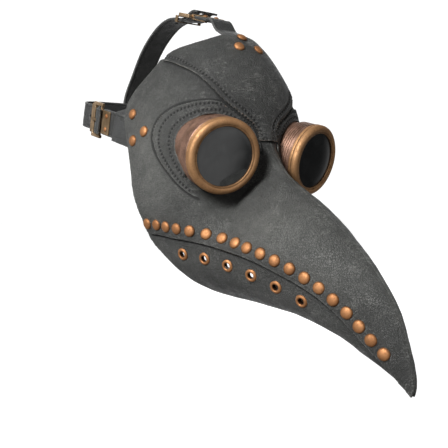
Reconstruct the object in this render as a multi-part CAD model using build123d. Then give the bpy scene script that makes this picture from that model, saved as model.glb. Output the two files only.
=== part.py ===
from build123d import *
import os
from collections import namedtuple
from math import asin, cos, hypot, radians, sin, tanh

# Plague doctor mask: a leather beak mask with goggles, worn with a three-buckle harness.
#
# Frame, in millimetres: the origin is the centre of the wearer's head at eye level, +Z is up,
# the beak points along -Y and +X is the wearer's left. The mask is mirror-symmetric about X = 0.
# Parts named right_ are built on the -X side and left_ parts are their mirror images.

# ---------------------------------------------------------------- driving dimensions
LEATHER = 2.0            # thickness of every cut leather panel
SKIN_GAP = 0.3           # air under the layers that lie on the side panels
LINING_GAP = 0.8         # air over the layers that lie behind them
RIVET_R = 4.9            # dome rivets of the beak, temple and forehead
RIVET_HIGH = 2.4
HEAD_REST = 0.4          # how far a head stands off the leather's middle, over its curve
BURR_R = 2.6             # the washer that closes each rivet on the inside
BURR_THICK = 0.8
SHANK_R = 1.6
SHANK_GAP = 0.08
BEAK_RIVETS = 19         # per side
BEAK_RIVET_SPAN = (0.105, 0.89)     # first and last, as parts of the mouth seam
BEAK_RIVET_OFFSET = 8.5  # above the seam
EYELETS = 6              # per side
EYELET_SPAN = (0.245, 0.64)
EYELET_OFFSET = -12.0
EYELET_R = 5.2
EYELET_BORE = 2.5

EYE_CENTRE = (-49.0, -119.0, -1.0)   # middle of the right bezel's front face
EYE_OUTWARD = 12.5       # degrees that a goggle points away from straight ahead
EYE_DOWN = 15.0          # degrees that it points below the horizon
BEZEL_R = 30.5
WINDOW_R = 23.5
LENS_R = 25.0
LENS_THICK = 2.2
CUP_R = 30.0
SLEEVE_R = 28.0
SLEEVE_BORE = 24.5
COLLAR_R = 38.5
THREAD_GAP = 0.08

STRAP_WIDE = 23.0
STRAP_THICK = 2.2
STRAP_TILT = 13.8        # degrees that the side straps rise towards the back
STRAP_BACK = 98.0        # Y of the strap behind the head
STRAP_LEVEL = 38.4       # Z of the side buckles
BUCKLE_Y = 37.5
BUCKLE_X = -71.0
BUCKLE_TOE_IN = 1.0
CROWN_BUCKLE = (0.0, -21.0, 130.5)
CROWN_SLOPE = 17.0

BAR_R = 1.3              # heel bar that the frame, plate and prong share
BAR_GAP = 0.06
FRAME_BAR = 3.2
SHEET = 1.0

# Each station is a flat cross-section of the shell. It holds the point over the ridge and the
# point at the mouth seam, each as (y, z), the half width at the seam, the two Bezier handles
# of the side as multiples of that width, how far down the second handle sits, and the depth
# of the lower panel below the seam.
Station = namedtuple("Station", "ridge mouth wide crown cheek drop deep")
STATIONS = [
    Station((28, 130), (20, -60), 64, 0.80, 1.50, 0.50, 48),
    Station((-20, 128), (-10, -61), 68, 0.78, 1.42, 0.50, 49),
    Station((-61, 112.5), (-30, -62), 69, 0.76, 1.36, 0.48, 50),
    Station((-89.5, 88), (-52, -63), 68, 0.70, 1.30, 0.45, 51.5),
    Station((-103.5, 59.5), (-72, -65), 66, 0.61, 1.20, 0.42, 51.5),
    Station((-109, 30), (-90, -67), 62, 0.38, 0.98, 0.50, 51),
    Station((-119, 5), (-107, -70), 57, 0.20, 0.70, 0.58, 49),
    Station((-139, -16), (-127, -75), 51, 0.24, 0.78, 0.60, 46),
    Station((-166, -34), (-152, -83), 42, 0.38, 0.95, 0.50, 41),
    Station((-192, -53), (-178, -95), 32, 0.44, 1.00, 0.45, 34),
    Station((-217, -74), (-203, -111), 23, 0.46, 1.00, 0.45, 25.5),
    Station((-240, -100), (-226, -132), 15, 0.50, 1.00, 0.45, 15),
    Station((-254, -128), (-244, -149), 9, 0.55, 1.00, 0.45, 7),
    Station((-259, -142.5), (-251.5, -157), 5.6, 0.55, 1.00, 0.45, 3.5),
    Station((-261.6, -159), (-259.5, -166), 2.4, 0.55, 1.00, 0.45, 1.0),
]
LOWER_STATIONS = STATIONS[:14]
THINNEST = 0.5           # the least half width that a layer keeps at the beak's tip
MOST_RISE = 0.4          # the most that a layer shifts the ridge, as a part of the section
LOWER_END = 249.5        # the lower panel ends here, this far in front of the head's centre
LAP = 18.0               # how far the lower panel reaches up behind the side panels

# Outlines in the side view, as (y, z).
REAR_EDGE = [(-37, 85), (-27, 70), (-9.5, 50), (-19, 8), (-27, -34), (-42, -64)]
TUCK_EDGE = [(-111, 27), (-107.2, 40), (-102, 52), (-90, 69), (-66, 82), (-37, 85)]
BROW_SEAM = [(-44, 83), (-63, 76.5), (-90, 60), (-104, 40), (-113, 14)]
BROW_REAR = [(-77, 118), (-70, 102), (-57, 96), (-44, 88)]
JAW_EDGE = [(-30, -40), (-33, -62), (-53, -81), (-80, -112), (-86, -124)]
TEMPLE_RIVETS = [(-21.5, 39), (-41, 23), (-26, 16)]
FOREHEAD_RIVETS = [(0, -78.5), (-10.5, -87.5), (10.5, -87.5)]     # as (x, y), seen from above
TAB_OUTLINE = [(-52, 24), (-42, 37), (-24, 47), (8, 44), (8, 18), (-24, 8), (-42, 12)]


# ---------------------------------------------------------------- shell surface
def section_point(station, x, v):
    """A point of a station's plane: v is 0 on the ridge and 1 at the mouth seam."""
    (ry, rz), (my, mz) = station.ridge, station.mouth
    return Vector(x, ry + (my - ry) * v, rz + (mz - rz) * v)


def span(station):
    (ry, rz), (my, mz) = station.ridge, station.mouth
    return hypot(my - ry, mz - rz)


def squareness(station):
    """The cosine between a station's plane and the ridge line's normal."""
    i = STATIONS.index(station)
    before, after = STATIONS[max(i - 1, 0)].ridge, STATIONS[min(i + 1, len(STATIONS) - 1)].ridge
    dy, dz = after[0] - before[0], after[1] - before[1]
    (ry, rz), (my, mz) = station.ridge, station.mouth
    return (dz * (ry - my) - dy * (rz - mz)) / (hypot(dy, dz) * span(station))


def side_handles(station, layer):
    """Bezier handles (x, v) of the side from ridge to seam, at a height over the skin."""
    least = THINNEST + 0.05 * layer
    rise = -MOST_RISE * tanh(layer / (MOST_RISE * span(station) * squareness(station)))
    wide = max(station.wide + layer, least)
    crown = max(station.crown * station.wide + 0.6 * layer, least / 2)
    cheek = max(station.cheek * station.wide + layer, least)
    return [(0, rise), (crown, rise), (cheek, station.drop), (wide, 1)]


def jaw_handles(station, layer):
    """Bezier handles of the lower panel, from the seam round to the middle of the belly."""
    wide = max(station.wide + layer, THINNEST)
    low = 1 + (station.deep + layer) / span(station)
    half = 1 + 0.5 * station.deep / span(station)
    belly = max(0.78 * station.wide + layer, THINNEST / 2)
    return [(wide, 1), (wide, half), (belly, low), (0, low)]


def curve(station, handles, side):
    return Bezier(*[section_point(station, side * x, v) for x, v in handles])


def side_curve(station, layer, side):
    return curve(station, side_handles(station, layer), side)


def last_part(handles, start):
    """The stretch of a cubic Bezier from a parameter to its end."""
    def blend(p, q):
        return (p[0] + (q[0] - p[0]) * start, p[1] + (q[1] - p[1]) * start)
    first = [blend(p, q) for p, q in zip(handles, handles[1:])]
    second = [blend(p, q) for p, q in zip(first, first[1:])]
    return [blend(*second), second[1], first[2], handles[3]]


def closed_face(edges):
    return Face(Wire(edges))


def side_strip(outer, inner, side=-1):
    """One side of the shell between two heights over the skin."""
    faces = []
    for s in STATIONS:
        out, back = side_curve(s, outer, side), side_curve(s, inner, side)
        faces.append(closed_face([out, Line(out @ 1, back @ 1), back, Line(back @ 0, out @ 0)]))
    return loft(faces)


def arch_strip(outer, inner):
    """Both sides of the shell in one piece, over the ridge."""
    faces = []
    for s in STATIONS:
        edges = [side_curve(s, layer, side) for layer in (outer, inner) for side in (-1, 1)]
        ends = [Line(edges[0] @ 1, edges[2] @ 1), Line(edges[1] @ 1, edges[3] @ 1)]
        faces.append(closed_face([edges[0], edges[1], ends[1], edges[3], edges[2], ends[0]]))
    return loft(faces)


def jaw_strip(outer, inner):
    """The lower panel: it starts behind the side panels and passes under the beak."""
    faces = []
    for s in LOWER_STATIONS:
        edges = []
        for layer in (outer, inner):
            side = side_handles(s, layer)
            reach = 3 * hypot(side[3][0] - side[2][0], (side[3][1] - side[2][1]) * span(s))
            lap = last_part(side, 1 - min(LAP, 0.4 * span(s)) / reach)
            jaw = jaw_handles(s, layer)
            edges.append([curve(s, lap, -1), curve(s, jaw, -1), curve(s, jaw, 1), curve(s, lap, 1)])
        start = Line(edges[0][0] @ 0, edges[1][0] @ 0)
        end = Line(edges[0][3] @ 0, edges[1][3] @ 0)
        faces.append(closed_face(edges[0] + [end] + edges[1][::-1] + [start]))
    return loft(faces)


def inside_volume(layer):
    """The right half of the space inside the shell, as a filled solid."""
    faces = []
    for s in STATIONS:
        side = side_curve(s, layer, -1)
        floor = section_point(s, 0, 1)
        faces.append(closed_face([side, Line(side @ 1, floor), Line(floor, side @ 0)]))
    return loft(faces)


# ---------------------------------------------------------------- small helpers
def side_view(points, edges=None, reach=100.0):
    """A prism along X from an outline in the side view."""
    lines = edges if edges else []
    flat = [Vector(0, y, z) for y, z in points]
    lines = lines + [Line(a, b) for a, b in zip(flat, flat[1:])]
    return extrude(closed_face(lines), reach, dir=(1, 0, 0), both=True)


def smooth(points):
    return Spline(*[Vector(0, y, z) for y, z in points])


def skin_hit(shape, origin, direction):
    """Where a line from outside first meets a solid, with the outward normal there."""
    axis = Axis(origin, direction)
    hits = shape.find_intersection_points(axis)
    point, normal = min(hits, key=lambda hit: (hit[0] - Vector(origin)).dot(axis.direction))
    if normal.dot(axis.direction) > 0:
        normal = normal * -1
    return Plane(origin=point, z_dir=normal)


def revolved(outline):
    """Revolve a closed outline of (radius, height) points about Z."""
    points = [Vector(r, 0, h) for r, h in outline]
    lines = [Line(a, b) for a, b in zip(points, points[1:] + points[:1])]
    return turned(lines)


def turned(lines):
    """Revolve a closed profile in the XZ plane about Z, facing the right way out."""
    face = closed_face(lines)
    return revolve(face if face.normal_at().Y < 0 else -face, Axis.Z)


def ribbon(centre, thick, samples):
    """A flat face of constant thickness along a planar curve, in that curve's plane XY."""
    left, right = [], []
    for i in range(samples + 1):
        point = centre @ (i / samples)
        along = centre % (i / samples)
        across = Vector(-along.Y, along.X, 0) * (thick / 2)
        left.append(point + across)
        right.append(point - across)
    edge_a, edge_b = Spline(*left), Spline(*right)
    return closed_face([edge_a, Line(edge_a @ 1, edge_b @ 1), edge_b, Line(edge_b @ 0, edge_a @ 0)])


def mirrored(shape):
    return mirror(shape, about=Plane.YZ)


def save(name, shape):
    solids = shape.solids()
    export_step(solids[0] if len(solids) == 1 else Compound(children=list(solids)), f"parts/{name}.step")


# ---------------------------------------------------------------- fasteners
def dome_rivet(plane, grip):
    """A dome head on the skin, a shank through the leather and a burr inside."""
    head = revolved_dome(RIVET_R, RIVET_HIGH, HEAD_REST)
    shank = Pos(0, 0, -grip / 2) * Cylinder(SHANK_R, grip + 2 * HEAD_REST)
    burr = Pos(0, 0, -grip - 0.3 - BURR_THICK / 2) * Cylinder(BURR_R, BURR_THICK)
    return plane.location * (head + shank + burr)


def revolved_dome(radius, high, base):
    rim = 0.2 * high
    ball = (radius ** 2 + (high - rim) ** 2) / (2 * (high - rim))
    half = asin(radius / ball) / 2
    middle = (ball * sin(half), 0, base + high - ball + ball * cos(half))
    arc = ThreePointArc((radius, 0, base + rim), middle, (0, 0, base + high))
    return turned([Line((0, 0, base), (radius, 0, base)), Line((radius, 0, base), arc @ 0), arc,
                   Line(arc @ 1, (0, 0, base))])


def shank_hole(plane, grip):
    return plane.location * (Pos(0, 0, -grip / 2) * Cylinder(SHANK_R + SHANK_GAP, grip + 3))


def eyelet(plane):
    """A rolled eyelet that lines a hole in the lower panel."""
    inner = EYELET_BORE
    flange = revolved([(inner, 1.1), (inner + 0.9, 1.3), (EYELET_R - 0.5, 0.8), (EYELET_R, 0.15),
                       (inner + 0.7, 0.15), (inner + 0.7, -LEATHER - 0.35), (inner + 1.7, -LEATHER - 0.35),
                       (inner + 1.7, -LEATHER - 0.9), (inner, -LEATHER - 0.9)])
    return plane.location * flange


def seam_points(count, offset, first, last):
    """Evenly spaced (y, z) places beside the mouth seam, above it where offset is positive."""
    seam = Spline(*[Vector(0, *s.mouth) for s in STATIONS[1:]])
    places = []
    for i in range(count):
        t = first + (last - first) * i / (count - 1)
        along = seam % t
        places.append(seam @ t + Vector(0, along.Z, -along.Y) * offset * (1 - 0.3 * t ** 3))
    return [(p.Y, p.Z) for p in places]


# ---------------------------------------------------------------- leather
def rear_keep():
    """Everything in front of the side panels' rear edge and below their tucked top edge."""
    rear, tuck = smooth(REAR_EDGE), smooth(TUCK_EDGE)
    return side_view([(-42, -64), (-60, -185), (-290, -185), (-290, 24), (-118, 24), (-111, 27)],
                     [rear, tuck])


def brow_keep():
    """Everything above the brow seam and in front of the forehead panel's rear edge."""
    return side_view([(-113, 14), (-150, 14), (-150, 150), (-77, 150), (-77, 118)],
                     [smooth(BROW_SEAM), smooth(BROW_REAR), Line((0, -44, 88), (0, -44, 83))])


def jaw_keep():
    return side_view([(-86, -124), (-86, -200), (-290, -200), (-290, -30), (-30, -30), (-30, -40)],
                     [smooth(JAW_EDGE)])


def eye_plane():
    out, down = radians(EYE_OUTWARD), radians(EYE_DOWN)
    axis = Vector(-sin(out) * cos(down), -cos(out) * cos(down), -sin(down))
    return Plane(origin=EYE_CENTRE, z_dir=axis)


def eye_rod(radius, near=-12.0, far=-82.0):
    """A rod along the right goggle's axis."""
    return eye_plane().location * (Pos(0, 0, (near + far) / 2) * Cylinder(radius, near - far))


def goggle_room():
    """The space that the cup and bezel turn in, which the beak's flank would otherwise reach."""
    return eye_rod(BEZEL_R + 0.8, 12.0, -21.8)


def leather_panels(holes):
    """The four shell panels, with every rivet and eyelet hole cut."""
    right = side_strip(0, -LEATHER) & rear_keep()
    right = right - eye_rod(SLEEVE_R + 0.2) - goggle_room()
    forehead = arch_strip(LEATHER + SKIN_GAP, SKIN_GAP) & brow_keep()
    lower = jaw_strip(-LEATHER - LINING_GAP, -2 * LEATHER - LINING_GAP) & jaw_keep()
    right = right.cut(*holes["side"])
    forehead = forehead.cut(*holes["forehead"])
    both = holes["lower"] + [mirrored(h) for h in holes["lower"]]
    tip = Pos(0, -300, -150) * Box(60, 2 * (300 - LOWER_END), 120)
    return right, forehead, lower.cut(*both, tip)


# ---------------------------------------------------------------- goggles
def eye_collar():
    """The stitched leather ring round a goggle, cut away where the forehead panel lies."""
    ring = eye_rod(COLLAR_R) - eye_rod(SLEEVE_R + 0.3) - goggle_room()
    ring = ring & side_strip(LEATHER - 0.4, SKIN_GAP)
    brow = side_view([(-112.6, 12), (-150, 12), (-150, 150), (-42, 150), (-42, 81.5)],
                     [smooth([(-42, 81.5), (-63, 75), (-89, 58.5), (-102.8, 39), (-112.6, 12)])])
    ring = ring - brow
    return ring & (Pos(-61.5, -80, 0) * Box(120, 200, 200))


def eyecup():
    """Sleeve, ridged cup and threaded neck in one turned piece, flanged behind the leather."""
    ridges = []
    for i in range(5):
        top = -9.4 - 2.1 * i
        ridges += [(CUP_R, top), (CUP_R, top - 1.3), (CUP_R - 0.6, top - 1.5), (CUP_R - 0.6, top - 1.9)]
    neck = 27.5
    outline = [(SLEEVE_BORE - 1.5, -5.1), (neck, -5.1), (neck, -8.2), (CUP_R - 0.8, -8.2), *ridges,
               (CUP_R, -20), (SLEEVE_R, -21.5), (SLEEVE_R, -80), (SLEEVE_BORE, -80), (SLEEVE_BORE, -9),
               (SLEEVE_BORE - 1.5, -7.5)]
    tube = eye_plane().location * revolved(outline) - inside_volume(-3.3)
    sheet = side_strip(-LEATHER - SKIN_GAP, -3.1)
    flange = sheet & (eye_rod(33, -22, -80) - eye_rod(SLEEVE_BORE + 1.5))
    cup = tube + flange
    return max(cup.solids(), key=lambda solid: solid.volume)


def bezel():
    """The screw ring that holds the lens against the gasket."""
    lip, pocket = -1.8, -4.25
    skirt = 27.5 + THREAD_GAP
    seat = LENS_R + 0.15
    points = [(WINDOW_R, lip), (seat, lip), (seat, pocket), (skirt, pocket), (skirt, -8.0), (BEZEL_R, -8.0),
              (BEZEL_R, -3.0)]
    points = [Vector(r, 0, h) for r, h in points]
    lines = [Line(a, b) for a, b in zip(points, points[1:])]
    crest = ThreePointArc(points[-1], (BEZEL_R - 1.1, 0, -0.9), (BEZEL_R - 3.4, 0, 0))
    lines += [crest, Line(crest @ 1, (WINDOW_R + 1.2, 0, -0.5)), Line((WINDOW_R + 1.2, 0, -0.5), points[0])]
    return eye_plane().location * turned(lines)


def lens():
    thick = LENS_THICK
    return eye_plane().location * (Pos(0, 0, -1.85 - thick / 2) * Cylinder(LENS_R, thick))


def gasket():
    bore = SLEEVE_BORE - 1.5
    ring = revolved([(bore, -4.1), (LENS_R, -4.1), (LENS_R, -5.05), (bore, -5.05)])
    return eye_plane().location * ring


# ---------------------------------------------------------------- harness
# A buckle's own frame has its origin on the heel bar, X towards the wearer's back along the
# strap, Y outward and Z along the bar.
PLATE_LONG = 20.0
PLATE_WIDE = 21.0
FRAME_REACH = 12.5       # heel bar to front bar
FRAME_WIDE = 32.0
WINDOW_WIDE = 26.0
PRONG_WIDE = 2.4
RIVET_U = -14.0
PLATE_RIVET_R = 2.2
KEEPER_U = 20.5
# The free strap's middle line through a buckle, from its end over the bar to where it leaves.
THREADING = [(-7.5, 5.3), (-4, 5.3), (0, 4.8), (5.5, 1.2), (11, -2.9), (15, -3.9), (20, -4.3), (25, -4.6)]
BACK_CURVE = [(-65.5, 42), (-56, 53), (-38, 59.8), (-19, 62)]
CROWN_CURVE = [(20, 134.4), (42, 127), (66, 109), (84, 87)]


def strap_plane():
    tilt = radians(STRAP_TILT)
    return Plane(origin=(0, BUCKLE_Y, STRAP_LEVEL), x_dir=(1, 0, 0), z_dir=(0, -sin(tilt), cos(tilt)))


def side_buckle():
    toe, base = radians(BUCKLE_TOE_IN), strap_plane()
    rearward = base.x_dir * sin(toe) + base.y_dir * cos(toe)
    return Plane(origin=base.from_local_coords((BUCKLE_X, 0, 0)), x_dir=rearward, z_dir=base.z_dir)


def crown_buckle():
    slope = radians(CROWN_SLOPE)
    return Plane(origin=CROWN_BUCKLE, x_dir=(0, cos(slope), sin(slope)), z_dir=(1, 0, 0))


def block(u0, u1, n0, n1, wide):
    """A box in a buckle's frame, centred across the strap."""
    return Pos((u0 + u1) / 2, (n0 + n1) / 2, 0) * Box(u1 - u0, n1 - n0, wide)


def plate():
    """A sheet folded round the heel bar, with its two leaves closed on the tab's end."""
    bore = BAR_R + BAR_GAP
    outer = bore + SHEET
    leaves = block(-PLATE_LONG, 0, bore, outer, PLATE_WIDE)
    leaves = leaves + block(-PLATE_LONG, 0, -outer, -bore, PLATE_WIDE)
    body = Cylinder(outer, PLATE_WIDE) + leaves
    body = body - Cylinder(bore, 2 * PLATE_WIDE) - block(-5, 4, -4, 4, PRONG_WIDE + 2.2)
    return body - rivet_drills(PLATE_RIVET_R / 2 + 0.05)


def rivet_drills(radius):
    drill = Rot(90, 0, 0) * Cylinder(radius, 12)
    return Pos(RIVET_U, 0, -6) * drill + Pos(RIVET_U, 0, 6) * drill


def plate_rivets():
    reach = BAR_R + BAR_GAP + SHEET
    shank = Cylinder(PLATE_RIVET_R / 2, 2 * reach + 0.4)
    burr = Pos(0, 0, -reach - 0.4) * Cylinder(PLATE_RIVET_R, BURR_THICK)
    rivet = Rot(-90, 0, 0) * (revolved_dome(PLATE_RIVET_R, 1.2, reach) + shank + burr)
    return [Pos(RIVET_U, 0, w) * rivet for w in (-6, 6)]


def frame():
    half = FRAME_BAR / 2
    reach = FRAME_REACH + half
    window = block(-3, FRAME_REACH - half, -half - 1, half + 1, WINDOW_WIDE)
    loop = block(-2, reach, -half, half, FRAME_WIDE) - window
    loop = fillet(loop.edges(), 0.7)
    return loop + Cylinder(BAR_R, WINDOW_WIDE + 2)


def prong():
    """The pin that passes through the strap and rests on the frame's front bar."""
    half = FRAME_BAR / 2
    ring = Cylinder(3.1, PRONG_WIDE)
    tongue = block(0, FRAME_REACH + half + 0.8, half + 0.12, 3.1, PRONG_WIDE)
    tip = tongue.edges().filter_by(Axis.Z).group_by(Axis.X)[-1]
    return ring + fillet(tip, 0.5) - Cylinder(BAR_R + BAR_GAP, 10)


def keeper():
    wall, low, high = 1.1, -6.3, -2.3
    window = block(KEEPER_U - 6, KEEPER_U + 6, low, high, STRAP_WIDE + 1.6)
    loop = block(KEEPER_U - 1.8, KEEPER_U + 1.8, low - wall, high + wall, STRAP_WIDE + 1.6 + 2 * wall)
    return fillet((loop - window).edges().filter_by(Axis.X), 0.5)


def tongue():
    """The end of a tab, inside the plate, with its rivet holes."""
    thick = 2 * (BAR_R + BAR_GAP) - 0.1
    body = block(-44, -5.2, -thick / 2, thick / 2, STRAP_WIDE)
    return body - rivet_drills(PLATE_RIVET_R / 2 + 0.05)


def buckle_parts(place):
    """Every piece of one buckle, moved to its place on the harness."""
    made = {"plate": plate(), "frame": frame(), "prong": prong(), "keeper": keeper()}
    return {name: place.location * shape for name, shape in made.items()}


def threading_points(place):
    return [place.from_local_coords((u, n, 0)) for u, n in THREADING]


def pin_holes(place, radius=1.7):
    """The slot that the prong stands in and the spare holes further along the strap."""
    slot = block(-1, 10, -12, 12, PRONG_WIDE + 1.6)
    spare = [Pos(28 + 11 * i, 0, 0) * (Rot(90, 0, 0) * Cylinder(radius, 30)) for i in range(2)]
    return [place.location * hole for hole in [slot] + spare]


def back_strap(place):
    """One strap from the right buckle round the back of the head to the left buckle."""
    base = strap_plane()
    arm = [base.to_local_coords(p) for p in threading_points(place)]
    right = [Vector(p.X, p.Y, 0) for p in arm] + [Vector(x, y, 0) for x, y in BACK_CURVE]
    middle = Vector(0, (STRAP_BACK - BUCKLE_Y) / cos(radians(STRAP_TILT)), 0)
    left = [Vector(-p.X, p.Y, 0) for p in reversed(right)]
    face = ribbon(Spline(*right, middle, *left), STRAP_THICK, 90)
    strap = base.location * extrude(face, STRAP_WIDE / 2, dir=(0, 0, 1), both=True)
    holes = pin_holes(place)
    return strap.cut(*holes, *[mirrored(h) for h in holes])


def strap_junction():
    """The plane between the back strap and the crown strap, facing back."""
    base = strap_plane()
    depth = (STRAP_BACK - BUCKLE_Y) / cos(radians(STRAP_TILT)) + STRAP_THICK / 2 + SKIN_GAP
    return Plane(origin=base.from_local_coords((0, depth, 0)), x_dir=(1, 0, 0), z_dir=base.y_dir)


def upright(points):
    """Points of the side view, as points of a flat XY sketch."""
    return [Vector(p.Y, p.Z, 0) for p in points]


def stand_up(face, wide):
    """Extrude a flat sketch of the side view evenly across the mid-plane."""
    return Plane.YZ.location * extrude(face, wide / 2, dir=(0, 0, 1), both=True)


def crown_strap(place):
    """The strap from the crown buckle down the back, riveted over the back strap."""
    joint = strap_junction()
    start = upright(threading_points(place))
    over = [Vector(y, z, 0) for y, z in CROWN_CURVE]
    flat = upright([joint.from_local_coords((0, s, STRAP_THICK / 2 + 0.1)) for s in (-14, -6, 2, 12)])
    face = ribbon(Spline(*start, *over, *flat), STRAP_THICK, 90)
    return stand_up(face, STRAP_WIDE).cut(*pin_holes(place), *joint_drills(SHANK_R + SHANK_GAP))


def joint_places():
    joint = strap_junction()
    spots = [joint.from_local_coords((0, s, STRAP_THICK + 0.1)) for s in (-6, 6)]
    return [Plane(origin=spot, z_dir=joint.z_dir) for spot in spots]


def joint_drills(radius):
    return [p.location * (Pos(0, 0, -3) * Cylinder(radius, 14)) for p in joint_places()]


def side_tab(place, holes):
    """The tab behind the side panel, riveted at the temple and clamped by the plate."""
    outline = side_view(TAB_OUTLINE + TAB_OUTLINE[:1])
    under = side_strip(-LEATHER - LINING_GAP, -2 * LEATHER - LINING_GAP) & outline
    return (under + place.location * tongue()).cut(*holes)


def crown_tab(place, holes):
    """The tab behind the forehead panel, which rises to the crown buckle's plate."""
    under = arch_strip(0, -LEATHER) & (Pos(0, -79, 100) * Box(STRAP_WIDE, 38, 60))
    foot = Vector(-62.5, 110.1, 0)
    knee = Vector(-55, 114.6, 0)
    lift = upright([place.from_local_coords((u, 0, 0)) for u in (-30, -21.5)])
    rise = stand_up(ribbon(Spline(foot, knee, *lift), 2.0, 12), STRAP_WIDE)
    end = place.location * (tongue() & block(-23, 0, -5, 5, 60))
    return (under + rise + end).cut(*holes)


# ---------------------------------------------------------------- assembly
def build():
    os.makedirs("parts", exist_ok=True)
    skin = side_strip(0, -LEATHER)
    brow = arch_strip(LEATHER + SKIN_GAP, SKIN_GAP)
    jaw = jaw_strip(-LEATHER - LINING_GAP, -2 * LEATHER - LINING_GAP)
    inward, down = (1, 0, 0), (0, 0, -1)
    beak_places = seam_points(BEAK_RIVETS, BEAK_RIVET_OFFSET, *BEAK_RIVET_SPAN)
    vent_places = seam_points(EYELETS, EYELET_OFFSET, *EYELET_SPAN)
    beak = [skin_hit(skin, (-150, y, z), inward) for y, z in beak_places]
    vents = [skin_hit(jaw, (-150, y, z), inward) for y, z in vent_places]
    temple = [skin_hit(skin, (-150, y, z), inward) for y, z in TEMPLE_RIVETS]
    top = [skin_hit(brow, (x, y, 200), down) for x, y in FOREHEAD_RIVETS]
    thick, grip = 2 * LEATHER + SKIN_GAP, 2 * LEATHER + LINING_GAP
    beak_holes = [shank_hole(p, grip) for p in beak]
    temple_holes = [shank_hole(p, grip) for p in temple]
    top_holes = [shank_hole(p, thick) for p in top]
    vent_holes = [p.location * Cylinder(EYELET_BORE + 0.75, 12) for p in vents]
    right, forehead, lower = leather_panels({"side": beak_holes + temple_holes, "forehead": top_holes,
                                             "lower": beak_holes + vent_holes})
    side, crown = side_buckle(), crown_buckle()
    back = back_strap(side).cut(*joint_drills(SHANK_R + SHANK_GAP))
    save("forehead_panel", forehead)
    save("lower_panel", lower)
    save("back_strap", back)
    save("crown_strap", crown_strap(crown))
    save("crown_tab", crown_tab(crown, top_holes))
    save("forehead_rivets", Compound(children=[dome_rivet(p, thick) for p in top]))
    save("strap_rivets", Compound(children=[dome_rivet(p, 2 * STRAP_THICK + 0.2) for p in joint_places()]))
    pairs = {"side_panel": right, "eye_collar": eye_collar(), "eyecup": eyecup(), "bezel": bezel(),
             "lens": lens(), "gasket": gasket(), "strap_tab": side_tab(side, temple_holes),
             "beak_rivets": Compound(children=[dome_rivet(p, grip) for p in beak]),
             "temple_rivets": Compound(children=[dome_rivet(p, grip) for p in temple]),
             "eyelets": Compound(children=[eyelet(p) for p in vents])}
    for name, shape in buckle_parts(side).items():
        pairs[f"buckle_{name}"] = shape
    for name, shape in pairs.items():
        save(f"right_{name}", shape)
        save(f"left_{name}", mirrored(shape))
    for name, shape in buckle_parts(crown).items():
        save(f"crown_buckle_{name}", shape)
    small = [side.location * r for r in plate_rivets()]
    small += [mirrored(r) for r in small] + [crown.location * r for r in plate_rivets()]
    save("plate_rivets", Compound(children=small))


build()
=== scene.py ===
"""Looks of a leather plague doctor mask: shell, goggles, rivets and a buckled harness."""

import math

import bmesh
import bpy
import numpy as np
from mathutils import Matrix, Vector
from mathutils.bvhtree import BVHTree


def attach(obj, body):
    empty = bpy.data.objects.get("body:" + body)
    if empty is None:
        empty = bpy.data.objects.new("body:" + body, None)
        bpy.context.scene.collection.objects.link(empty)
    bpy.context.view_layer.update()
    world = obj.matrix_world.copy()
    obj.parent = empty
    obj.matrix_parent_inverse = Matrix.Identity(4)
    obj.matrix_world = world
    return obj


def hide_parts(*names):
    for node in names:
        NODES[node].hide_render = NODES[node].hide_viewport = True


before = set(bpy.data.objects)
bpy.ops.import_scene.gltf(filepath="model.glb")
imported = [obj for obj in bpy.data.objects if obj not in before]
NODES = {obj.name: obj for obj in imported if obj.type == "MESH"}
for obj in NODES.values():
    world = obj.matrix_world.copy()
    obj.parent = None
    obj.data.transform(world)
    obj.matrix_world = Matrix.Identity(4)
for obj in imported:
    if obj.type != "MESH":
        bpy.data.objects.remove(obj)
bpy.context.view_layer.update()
MM = 0.001
WELD_REACH = 2e-6        # in metres
COARSER = 1.0
SIDES = {"right": -1, "left": 1}

# The goggles and the harness, as in the CAD frame, in millimetres.
EYE_CENTRE = np.array([-49.0, -119.0, -1.0])
EYE_OUTWARD = math.radians(12.5)
EYE_DOWN = math.radians(15.0)
STRAP_TILT = math.radians(13.8)
STRAP_ORIGIN = np.array([0.0, 46.0, 40.5])
BROW_SEAM = [(-44, 83), (-63, 76.5), (-90, 60), (-104, 40), (-113, 14)]


def smoothstep(low, high, x):
    t = np.clip((np.asarray(x, float) - low) / (high - low), 0, 1)
    return t * t * (3 - 2 * t)


def unit(v):
    v = np.asarray(v, float)
    return v / np.linalg.norm(v)


def eye_axis(side):
    c = math.cos(EYE_DOWN)
    return np.array([side * math.sin(EYE_OUTWARD) * c, -math.cos(EYE_OUTWARD) * c, -math.sin(EYE_DOWN)])


def eye_centre(side):
    return EYE_CENTRE * np.array([-side, 1, 1])


def basis(axis):
    """Two directions across an axis."""
    axis = unit(axis)
    first = unit(np.cross(axis, [0.0, 0.0, 1.0] if abs(axis[2]) < 0.9 else [1.0, 0.0, 0.0]))
    return first, np.cross(axis, first), axis


# ---------------------------------------------------------------- mesh helpers
def coordinates(mesh):
    """The vertices of a mesh in millimetres."""
    co = np.empty(len(mesh.vertices) * 3, np.float32)
    mesh.vertices.foreach_get("co", co)
    return co.reshape(-1, 3).astype(float) / MM


def set_coordinates(mesh, points):
    mesh.vertices.foreach_set("co", (points * MM).astype(np.float32).ravel())
    mesh.update()


def normals(mesh):
    out = np.empty(len(mesh.vertices) * 3, np.float32)
    mesh.vertex_normals.foreach_get("vector", out)
    return out.reshape(-1, 3).astype(float)


def edges_of(mesh):
    out = np.empty(len(mesh.edges) * 2, np.int32)
    mesh.edges.foreach_get("vertices", out)
    return out.reshape(-1, 2)


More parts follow.
